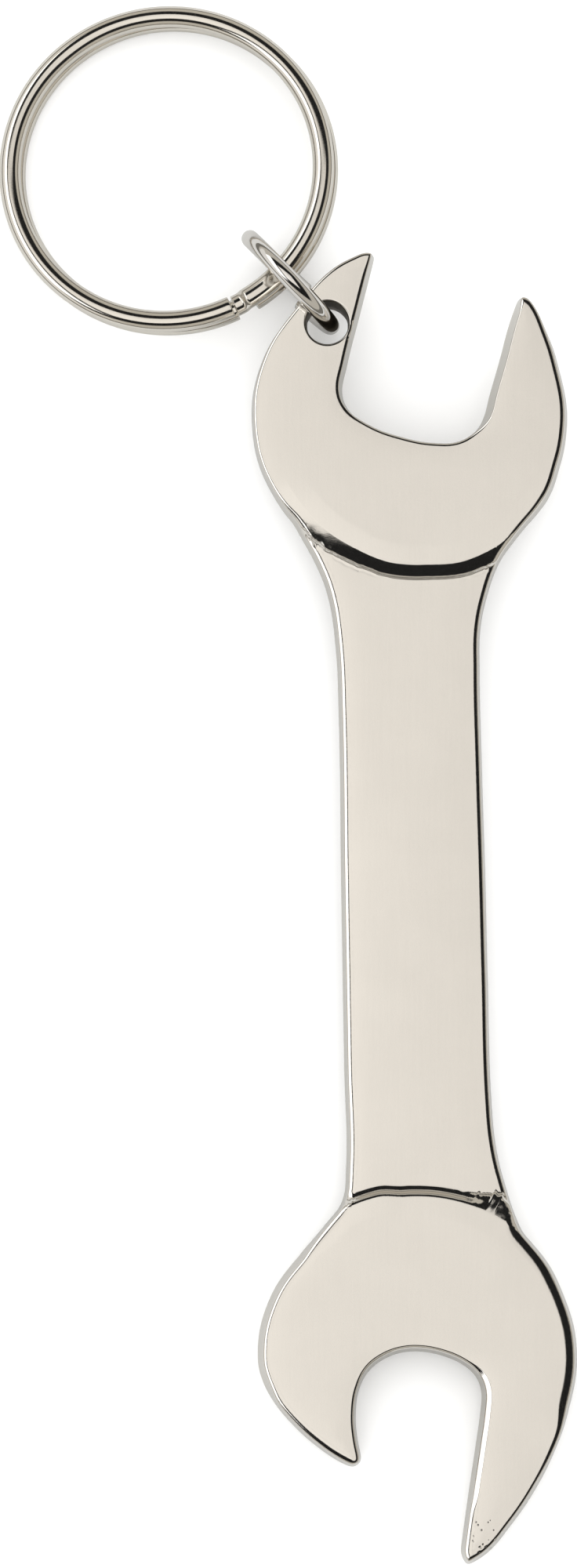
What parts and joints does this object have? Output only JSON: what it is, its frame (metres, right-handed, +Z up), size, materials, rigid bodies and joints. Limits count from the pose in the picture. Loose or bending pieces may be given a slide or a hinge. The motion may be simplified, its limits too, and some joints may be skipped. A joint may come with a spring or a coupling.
{
  "type": "keychain bottle opener",
  "caption": "Flat cast metal bottle opener shaped like a double open-ended spanner, hung from a jump ring and a split key ring.",
  "frame": {"origin": "centre of the object's outline seen from above, on the surface that it lies on", "axes": "+Y along the opener from the bottle-opening head towards the key ring, +Z up out of the front face, +X to the right seen from the front"},
  "size_m": [0.0426, 0.1159, 0.01],
  "materials": {
    "nickel_plated_zinc": "bright nickel plate over a zinc die casting, lightly grained flats and polished edges",
    "nickel_plated_jump_wire": "bright nickel plate on drawn round steel wire",
    "nickel_plated_split_wire": "bright nickel plate on flattened spring steel wire"
  },
  "bodies": {
    "opener_body": {"opener_body": "nickel_plated_zinc"},
    "jump_ring": {"jump_ring": "nickel_plated_jump_wire"},
    "split_ring": {"split_ring": "nickel_plated_split_wire"}
  },
  "joints": [
    {"name": "jump_ring_swing", "type": "hinge", "parent": "opener_body", "child": "jump_ring", "pos_m": [0.00313, 0.03306, 0.00503], "axis": [0, 0, 1], "range_deg": [-20, 20]},
    {"name": "split_ring_lift", "type": "hinge", "parent": "jump_ring", "child": "split_ring", "pos_m": [-0.00073, 0.03692, 0.00324], "axis": [0.7218, 0.6921, 0], "range_deg": [-90, 90]}
  ]
}
